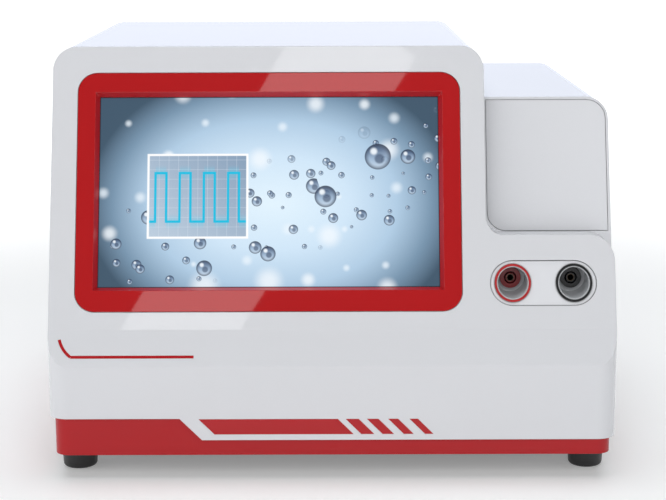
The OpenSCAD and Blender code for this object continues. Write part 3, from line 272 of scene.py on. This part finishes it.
def inside(s, value, low, high, soft=0.00025):
    """1 between low and high, with soft sides."""
    return s.math("MULTIPLY", s.span(value, low - soft, low + soft), s.span(value, high + soft, high - soft))


def box_mask(s, u, v, x0, y0, x1, y1):
    return s.math("MULTIPLY", inside(s, u, x0, x1), inside(s, v, y0, y1))


def screen_ground(s, u, v):
    """A pale glow, a little right of the screen's middle and below it, that darkens towards the corners."""
    across = s.math("MULTIPLY", s.math("SUBTRACT", s.math("DIVIDE", u, SCREEN_W / 2), 0.02), 0.92)
    high = s.math("MULTIPLY", s.math("ADD", s.math("DIVIDE", v, SCREEN_H / 2), 0.12), 0.72)
    reach = s.math("ADD", s.math("POWER", s.math("ABSOLUTE", across), 2.4), s.math("MULTIPLY", high, high))
    return s.ramp(s.math("SQRT", reach), (0.0, linear((226, 243, 254))), (0.35, linear((208, 230, 248))),
                  (0.62, linear((176, 204, 228))), (0.84, linear((118, 147, 172))), (1.0, linear((62, 86, 106))))


def screen_spots(s, place, picture):
    """Pale spots out of focus."""
    for pitch, most, soft, share, shift, strength, rgb in ((0.044, 0.3, 0.85, 0.5, 3.7, 0.75, (244, 250, 255)),
                                                           (0.024, 0.24, 0.9, 0.4, 9.2, 0.7, (236, 246, 254))):
        cover = s.scatter(place, pitch, 0.1, most, soft, share, shift)[0]
        picture = s.mix(s.math("MULTIPLY", cover, strength), picture, linear(rgb))
    return picture


def screen_cells(s, place, picture):
    """Round cells with a dark rim, a core and a spark of light, in a band that climbs to the right."""
    for pitch, shift, share, clear in ((0.0115, 1.3, 0.5, 0.85), (0.018, 5.1, 0.4, 0.9), (0.031, 7.4, 0.45, 0.92)):
        cover, out, middle, radius = s.scatter(place, pitch, 0.1, 0.3, 0.06, share, shift)
        x, y = s.apart(middle)[:2]
        from_band = s.math("ABSOLUTE", s.math("ADD", y, s.math("MULTIPLY_ADD", x, -0.3, 0.014)))
        in_band = s.span(from_band, 0.036, 0.03)
        # Places in the cell, from -1 to 1 both ways
        local = s.vector("DIVIDE", s.vector("SUBTRACT", place, middle), s.join(radius, radius, radius))
        local = s.vector("MULTIPLY", local, (1, 1, 0))
        rise = s.math("MULTIPLY_ADD", s.apart(local)[1], 0.5, 0.5)
        skin = s.ramp(rise, (0.0, linear((206, 222, 238))), (0.4, linear((160, 184, 210))),
                      (0.75, linear((84, 106, 138))), (1.0, linear((34, 48, 76))))
        skin = s.mix(s.span(out, 0.6, 0.98, 0, 0.85, smooth=True), skin, linear((30, 42, 68)))
        from_core = s.vector("LENGTH", s.vector("SUBTRACT", local, (0.12, -0.16, 0)))
        skin = s.mix(s.span(from_core, 0.46, 0.26, 0, 0.75, smooth=True), skin, linear((40, 58, 92)))
        from_spark = s.vector("LENGTH", s.vector("SUBTRACT", local, (-0.3, 0.4, 0)))
        skin = s.mix(s.span(from_spark, 0.36, 0.12, 0, 0.95, smooth=True), skin, linear((244, 250, 255)))
        picture = s.mix(s.math("MULTIPLY", s.math("MULTIPLY", cover, in_band), clear), picture, skin)
    return picture


def screen_plot(s, u, v, picture):
    """A plot of square pulses over a fine grid, in a white frame."""
    x0, y0, x1, y1 = PLOT
    ground = s.mix(s.span(s.math("ADD", u, v), x0 + y0, x1 + y1), linear((188, 205, 222)), linear((134, 158, 184)))
    for way, start in ((u, x0), (v, y0)):
        turn = s.math("FRACT", s.math("DIVIDE", s.math("SUBTRACT", way, start), PLOT_GRID))
        rule = s.span(s.math("ABSOLUTE", s.math("SUBTRACT", turn, 0.5)), 0.46, 0.5)
        ground = s.mix(s.math("MULTIPLY", rule, 0.45), ground, linear((226, 236, 246)))
    turns = s.math("DIVIDE", s.math("SUBTRACT", u, x0 + PULSE_START), PULSE_PERIOD)
    phase = s.math("MULTIPLY", s.math("FRACT", turns), PULSE_PERIOD)
    high_time = PULSE_DUTY * PULSE_PERIOD
    is_high = inside(s, phase, 0, high_time, 0.0001)
    level = s.math("MULTIPLY_ADD", is_high, PULSE_HIGH - PULSE_LOW, PULSE_LOW)
    from_level = s.math("ABSOLUTE", s.math("SUBTRACT", v, level))
    thin, thick = PULSE_HALF * 0.75, PULSE_HALF * 1.25
    flats = s.span(from_level, thick, thin)
    from_fall = s.math("ABSOLUTE", s.math("SUBTRACT", phase, high_time))
    from_rise = s.math("MINIMUM", phase, s.math("SUBTRACT", PULSE_PERIOD, phase))
    steps = s.math("MULTIPLY", s.span(s.math("MINIMUM", from_fall, from_rise), thick, thin),
                   inside(s, v, PULSE_LOW - PULSE_HALF, PULSE_HIGH + PULSE_HALF))
    plot = s.mix(s.span(from_level, 0.006, 0.0, 0, 0.35, smooth=True), ground, linear((60, 205, 235)))
    plot = s.mix(s.math("MAXIMUM", flats, steps), plot, linear((0, 190, 226)))
    w = PLOT_FRAME
    picture = s.mix(box_mask(s, u, v, x0 - w, y0 - w, x1 + w, y1 + w), picture, (1, 1, 1, 1))
    return s.mix(box_mask(s, u, v, *PLOT), picture, plot)


def screen_picture(name):
    """The lit display behind its anti-glare glass. The picture is a made-up one."""
    s = Shader(name, Specular_IOR_Level=0.35)
    # Places on the screen from its middle, in metres: across, and up the face
    from_middle = s.vector("SUBTRACT", s.spot, tuple(BEND + UP * SCREEN_S + Vector((SCREEN_X, 0, 0))))
    u = s.vector("DOT_PRODUCT", from_middle, (1, 0, 0))
    v = s.vector("DOT_PRODUCT", from_middle, tuple(UP))
    place = s.join(u, v)
    picture = screen_ground(s, u, v)
    picture = screen_spots(s, place, picture)
    picture = screen_cells(s, place, picture)
    picture = screen_plot(s, u, v, picture)
    # The panel's dark border under the glass, and the glass's sides
    half_w, half_h = SCREEN_W / 2 - SCREEN_BORDER, SCREEN_H / 2 - SCREEN_BORDER
    lit = s.math("MULTIPLY", box_mask(s, u, v, -half_w, -half_h, half_w, half_h),
                 s.span(s.facing("Normal", tuple(OUT)), 0.9, 0.99))
    shown = s.mix(lit, linear((16, 20, 24)), picture)
    soft, worn = s.wear(0.0003)
    glass = s.mix(SCREEN_GLOW, shown, linear((12, 15, 20)))
    s.set(Base_Color=s.mix(s.math("MULTIPLY", worn, 0.3), glass, linear((120, 130, 140))),
          Emission_Color=shown, Emission_Strength=SCREEN_GLOW,
          Roughness=s.span(s.noise(700, 2), 0.3, 0.7, 0.32, 0.39),
          Normal=s.bump(s.noise(5200, 1), 0.25, 0.00001, soft))
    return s.material


def circuit(name):
    """A circuit board: green solder mask with traces, bright pads and pale rubbed edges."""
    s = Shader(name, Coat_Weight=0.4, Coat_Roughness=0.12)
    traces = s.node("ShaderNodeTexBrick", offset=0.5, squash=0.6)
    for key, value in (("Vector", s.spot), ("Scale", 95.0), ("Mortar Size", 0.045), ("Mortar Smooth", 0.3),
                       ("Bias", -0.2), ("Color1", linear((16, 74, 44))), ("Color2", linear((20, 84, 50))),
                       ("Mortar", linear((38, 118, 70)))):
        s.put(traces.inputs[key], value)
    pads = s.span(s.cells(240), 0.17, 0.12)
    soft, worn = s.wear(0.0003)
    face = s.mix(pads, traces.outputs["Color"], linear((186, 182, 168)))
    s.set(Base_Color=s.mix(s.math("MULTIPLY", worn, 0.7), face, linear((168, 172, 128))),
          Metallic=s.math("MULTIPLY", pads, 0.7), Roughness=s.span(s.noise(650, 2), 0.3, 0.7, 0.28, 0.44),
          Normal=s.bump(s.noise(1800, 2), 0.15, 0.00002, soft))
    return s.material


def sleeve(name, rgb, rgb_two, scale):
    """A capacitor's sleeve, a winding or a ribbon cable: a film with fine rings round it."""
    s = Shader(name, Coat_Weight=0.3, Coat_Roughness=0.15)
    wave = s.node("ShaderNodeTexWave", bands_direction="Z")
    s.put(wave.inputs["Vector"], s.spot)
    wave.inputs["Scale"].default_value = scale
    wave.inputs["Distortion"].default_value = 0.4
    rings = wave.outputs["Fac"]
    soft, worn = s.wear(0.0004)
    film = s.mix(rings, linear(rgb), linear(rgb_two))
    s.set(Base_Color=s.mix(s.math("MULTIPLY", worn, 0.5), film, linear((206, 204, 198))),
          Roughness=s.span(s.noise(520, 2), 0.3, 0.7, 0.24, 0.38), Normal=s.bump(rings, 0.3, 0.0001, soft))
    return s.material


def rocker_face(name):
    """The rocker with its generic marks in white: the bar for on, above, and the ring for off."""
    s = Shader(name, Coat_Weight=0.3, Coat_Roughness=0.1)
    lo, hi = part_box("switch_rocker")
    middle = (lo + hi) / 2
    x, _, z = s.apart(s.vector("SUBTRACT", s.spot, tuple(middle)))
    bar = s.math("MULTIPLY", inside(s, x, -0.0004, 0.0004, 0.0001), inside(s, z, 0.0026, 0.0052, 0.0001))
    from_ring = s.math("ADD", z, 0.004)
    away = s.math("SQRT", s.math("ADD", s.math("MULTIPLY", x, x), s.math("MULTIPLY", from_ring, from_ring)))
    marks = s.math("MAXIMUM", bar, inside(s, away, 0.0009, 0.0015, 0.0001))
    soft, worn = s.wear(0.0004)
    body = s.mix(s.noise(60), linear((26, 26, 28)), linear((34, 34, 36)))
    body = s.mix(s.math("MULTIPLY", worn, 0.35), body, linear((96, 96, 98)))
    uneven = s.span(s.noise(900, 2), 0.3, 0.7, 0.27, 0.36)
    s.set(Base_Color=s.mix(marks, body, linear((226, 226, 224))),
          Roughness=s.math("MULTIPLY_ADD", worn, -0.08, uneven), Normal=s.bump(s.noise(2400), 0.3, 0.00002, soft))
    return s.material


looks = {
    "housing": moulded("housing", (230, 231, 235), 0.42, coat=1.0, coat_rough=0.02, tint=0.012, grain=2400,
                       radius=0.0007),
    # The plate and the jack plate carry painted shade: dark sides in their grooves, and a darkening beside steps
    "plate": moulded("plate", (232, 233, 237), 0.48, tint=0.012, grain=3200, radius=0.0002, front=(60, 60, 62),
                     painted_shade=(0.06, 0.66)),
    "jack": moulded("jack", (236, 237, 241), 0.4, coat=0.4, coat_rough=0.08, tint=0.01, grain=3000, radius=0.0002,
                    front=(50, 46, 44), painted_shade=(0.0014, 0.15)),
    "bezel": moulded("bezel", (190, 14, 20), 0.35, coat=1.0, coat_rough=0.02, tint=0.03, depth=0.000008,
                     radius=0.0005, shine=0.1),
    "tray": moulded("tray", (184, 20, 28), 0.4, coat=0.3, coat_rough=0.12, tint=0.03, grain=1800, radius=0.0005,
                    shine=0.25, below=(74, 70, 70)),
    "trim": moulded("trim", (186, 22, 30), 0.4, coat=0.5, coat_rough=0.15, tint=0.02, grain=2000, radius=0.0002,
                    shine=0.2),
    "ring_red": moulded("ring_red", (192, 20, 28), 0.35, coat=0.6, coat_rough=0.1, tint=0.03, radius=0.0003),
    "black": moulded("black", (30, 31, 33), 0.38, coat=0.2, coat_rough=0.2, tint=0.1, grain=2200, radius=0.0003),
    "well": moulded("well", (196, 198, 201), 0.38, tint=0.02, grain=2600, radius=0.0002),
    "socket_red": moulded("socket_red", (122, 24, 30), 0.4, tint=0.05, grain=2600, radius=0.0003),
    "socket_black": moulded("socket_black", (36, 36, 38), 0.42, tint=0.08, grain=2600, radius=0.0003),
    "rubber": moulded("rubber", (34, 34, 35), 0.5, coat=0.35, coat_rough=0.22, tint=0.12, grain=1500, depth=0.00005,
                      radius=0.0005, shine=0.4, rub=0.15),
    "rear": moulded("rear", (196, 198, 202), 0.5, coat=0.2, coat_rough=0.3, tint=0.03, grain=1300, depth=0.00005),
    "brass": metal("brass", (214, 178, 104), 0.28),
    "contact": metal("contact", (88, 78, 66), 0.42, tint=0.25),
    "screws": metal("screws", (198, 199, 202), 0.32, radius=0.00015),
    "steel": metal("steel", (176, 178, 181), 0.4, (1, 14, 1)),
    "guard": metal("guard", (206, 207, 210), 0.25),
    "fins": metal("fins", (188, 190, 194), 0.42, (1, 20, 1)),
    "copper": metal("copper", (196, 122, 78), 0.35),
    "ferrite": moulded("ferrite", (52, 52, 54), 0.55, tint=0.2, grain=900, depth=0.00008),
    "board": circuit("board"),
    "parts": moulded("parts", (196, 178, 120), 0.45, tint=0.12, grain=1400),
    "resistor": metal("resistor", (190, 158, 92), 0.45),
    "caps": sleeve("caps", (30, 36, 62), (36, 44, 74), 160),
    "winding": sleeve("winding", (178, 138, 52), (206, 168, 84), 420),
    "ribbon": sleeve("ribbon", (206, 206, 196), (176, 178, 172), 30),
    "wire_red": moulded("wire_red", (170, 26, 30), 0.4, tint=0.05),
    "wire_black": moulded("wire_black", (34, 34, 36), 0.45, tint=0.1),
    "wire_brown": moulded("wire_brown", (92, 62, 40), 0.45, tint=0.1),
    "rocker": rocker_face("rocker"),
    "screen": screen_picture("screen"),
}
wears = {
    "front_shell": "housing", "rear_cover": "housing", "base_tray": "tray", "rear_panel": "rear",
    "screen_bezel": "bezel", "touch_glass": "screen", "display_panel": "steel", "display_bracket": "steel",
    "bracket_screws": "screws", "control_board": "board", "control_spacers": "brass", "ribbon_cable": "ribbon",
    "notice_plate": "plate", "jack_plate": "jack", "socket_ring_red": "ring_red", "socket_ring_black": "black",
    "socket_wells": "well", "socket_body_red": "socket_red", "socket_body_black": "socket_black",
    "socket_contacts": "contact", "socket_nuts": "screws", "chin_stripes": "trim", "accent_line": "trim",
    "feet": "rubber", "foot_screws": "screws", "housing_screws": "screws", "panel_screws": "screws",
    "mains_inlet": "black", "inlet_blades": "steel", "inlet_screws": "screws", "fuse_drawer": "black",
    "fuses": "guard", "switch_frame": "black", "switch_rocker": "rocker", "fan_frame": "black",
    "fan_stator": "copper", "fan_rotor": "socket_black", "fan_guard": "guard", "fan_screws": "screws",
    "pulse_board": "board", "capacitor_bank": "caps", "board_spacers": "brass", "board_screws": "screws",
    "heat_sink": "fins", "switching_modules": "black", "discharge_resistor": "resistor",
    "transformer_core": "ferrite", "transformer_winding": "winding", "supply_board": "board",
    "supply_parts": "parts", "output_lead_red": "wire_red", "output_lead_black": "wire_black",
    "mains_wires": "wire_brown", "fan_wires": "wire_red",
}
missing = sorted(set(nodes) - set(wears))
if missing:
    raise RuntimeError(f"no look for {missing}")
for node_name, look in wears.items():
    held = nodes[node_name]
    held.data.materials.clear()
    held.data.materials.append(looks[look])


# The floor: the radii of its rings, in metres, its sides, how far it lies below the feet, and how much it glows
# by itself to the camera, which rises to white between two distances from the part
FLOOR_RINGS = (0.5, 1.2, 3.0, 14.0)
FLOOR_SIDES = 96
FLOOR_DROP = 0.0002
FLOOR_GLOW = 0.22
FLOOR_GLOW_FROM, FLOOR_GLOW_TO = 0.45, 1.6


def floor():
    """A pale floor that keeps the object's shadow and runs out to white."""
    turns = [2 * math.pi * k / FLOOR_SIDES for k in range(FLOOR_SIDES)]
    points = [(0, 0, 0)] + [(r * math.cos(t), r * math.sin(t), 0) for r in FLOOR_RINGS for t in turns]
    following = [(k, (k + 1) % FLOOR_SIDES) for k in range(FLOOR_SIDES)]
    faces = [(0, 1 + k, 1 + after) for k, after in following]
    for start in range(1, 1 + FLOOR_SIDES * (len(FLOOR_RINGS) - 1), FLOOR_SIDES):
        for k, after in following:
            a, b = start + k, start + after
            faces.append((a, a + FLOOR_SIDES, b + FLOOR_SIDES, b))
    mesh = bpy.data.meshes.new("floor")
    mesh.from_pydata(points, [], faces)
    made = bpy.data.objects.new("floor", mesh)
    scene.collection.objects.link(made)
    made.location.z = -FLOOR_DROP
    s = Shader("floor", Roughness=0.9, Specular_IOR_Level=0.1)
    path = s.node("ShaderNodeLightPath").outputs
    mirrored = s.math("MAXIMUM", path["Is Glossy Ray"], path["Is Transmission Ray"])
    seen = s.math("MAXIMUM", path["Is Camera Ray"], mirrored)
    x, y = s.apart(s.spot)[:2]
    reach = s.math("SQRT", s.math("ADD", s.math("MULTIPLY", x, x), s.math("MULTIPLY", y, y)))
    own = s.span(reach, FLOOR_GLOW_FROM, FLOOR_GLOW_TO, FLOOR_GLOW, 1.0, smooth=True)
    s.set(Base_Color=s.mix(s.noise(300, 3), (0.89, 0.89, 0.89, 1), (0.91, 0.91, 0.91, 1)),
          Emission_Color=(1, 1, 1, 1), Emission_Strength=s.math("MULTIPLY", seen, own))
    mesh.materials.append(s.material)


floor()

# The surroundings: levels by height, the tint behind the part, and the level on its right. Heights and sides are
# the parts of a direction, from -1 to 1.
SKY_LEVELS = ((0.0, 1.0), (0.20, 1.0), (0.36, 0.1), (1.0, 0.1))
SKY_BEHIND = (0.95, 1.0, 1.14, 1)
SKY_RIGHT = 0.4
SKY_STRENGTH = 1.01


def sky():
    """Plain studio surroundings: white low down, with a cool tint behind, and dim higher up and on the right."""
    world = bpy.data.worlds.new("studio")
    scene.world = world
    world.use_nodes = True
    g = Graph(world.node_tree)
    right, back, up = g.apart(g.node("ShaderNodeTexCoord").outputs["Generated"])
    by_height = g.ramp(up, *[(place, (level, level, level, 1)) for place, level in SKY_LEVELS])
    tinted = g.mix(g.span(back, 0.2, 0.8, smooth=True), by_height, SKY_BEHIND, "MULTIPLY")
    # The camera sees white on the right as well
    camera_ray = g.node("ShaderNodeLightPath").outputs["Is Camera Ray"]
    level = g.math("MAXIMUM", g.span(right, 0.3, 0.8, 1.0, SKY_RIGHT, smooth=True), camera_ray)
    ground = g.tree.nodes["Background"]
    g.put(ground.inputs["Color"], g.scale(tinted, level))
    ground.inputs["Strength"].default_value = SKY_STRENGTH


sky()


def lamp(name, place, target, width, height, watts, rgb=(1, 1, 1)):
    """A soft light aimed at a point, which no surface mirrors."""
    data = bpy.data.lights.new(name, "AREA")
    data.shape = "RECTANGLE"
    data.size, data.size_y = width, height
    data.energy = watts
    data.color = rgb
    made = bpy.data.objects.new(name, data)
    made.location = place
    made.rotation_euler = (Vector(target) - Vector(place)).to_track_quat("-Z", "Y").to_euler()
    made.visible_camera = False
    made.visible_glossy = False
    scene.collection.objects.link(made)


lamp("top", (0.0, 0.3, 2.7), (0, 0, 0.1), 3.0, 3.0, 47, (0.95, 0.98, 1.0))
lamp("front", (0.2, -2.6, 1.7), (0, -0.1, 0.15), 2.4, 1.6, 26)
lamp("left", (-2.35, -0.75, 0.5), (0, 0, 0.15), 1.0, 0.6, 7)
lamp("right", (2.4, -0.45, 1.0), (0, 0, 0.15), 1.2, 1.2, 1.5)
lamp("back", (0.0, 2.6, 1.5), (0, 0, 0.15), 2.0, 1.4, 6)


def card(name, centre, across, along, width, length, radiance):
    """A slim light that glossy faces mirror: given by its middle and the directions of its sides."""
    data = bpy.data.lights.new(name, "AREA")
    data.shape = "RECTANGLE"
    data.size, data.size_y = width, length
    data.energy = radiance * math.pi * width * length
    made = bpy.data.objects.new(name, data)
    x = Vector(across).normalized()
    y = Vector(along).normalized()
    axes = Matrix((x, y, x.cross(y))).transposed().to_4x4()
    made.matrix_world = Matrix.Translation(Vector(centre)) @ axes
    made.visible_camera = False
    scene.collection.objects.link(made)


# The slanting glare over the leaning face, its bezel and its housing
card("strip", (-0.1675, -2.3552, 1.3888), (0.8493, -0.2862, -0.44359), (0.44536, 0.83962, 0.31096), 0.2326, 1.0552,
     2.4)

# The camera, worked out from the photograph's edges: its place, tilt and roll, and its focal length in pixels
CAMERA_PLACE = (0.0006, -1.230, 0.3632)
CAMERA_TILT, CAMERA_ROLL = math.radians(78.79), math.radians(-0.17)
SENSOR_MM, FOCAL_PX, PHOTO_PX = 36, 1700, 666
lens = bpy.data.cameras.new("camera")
lens.sensor_fit = "HORIZONTAL"
lens.sensor_width = SENSOR_MM
lens.lens = SENSOR_MM * FOCAL_PX / PHOTO_PX
lens.clip_end = 100
camera = bpy.data.objects.new("camera", lens)
camera.matrix_world = (Matrix.Translation(CAMERA_PLACE) @ Matrix.Rotation(CAMERA_TILT, 4, "X")
                       @ Matrix.Rotation(CAMERA_ROLL, 4, "Z"))
scene.collection.objects.link(camera)
scene.camera = camera
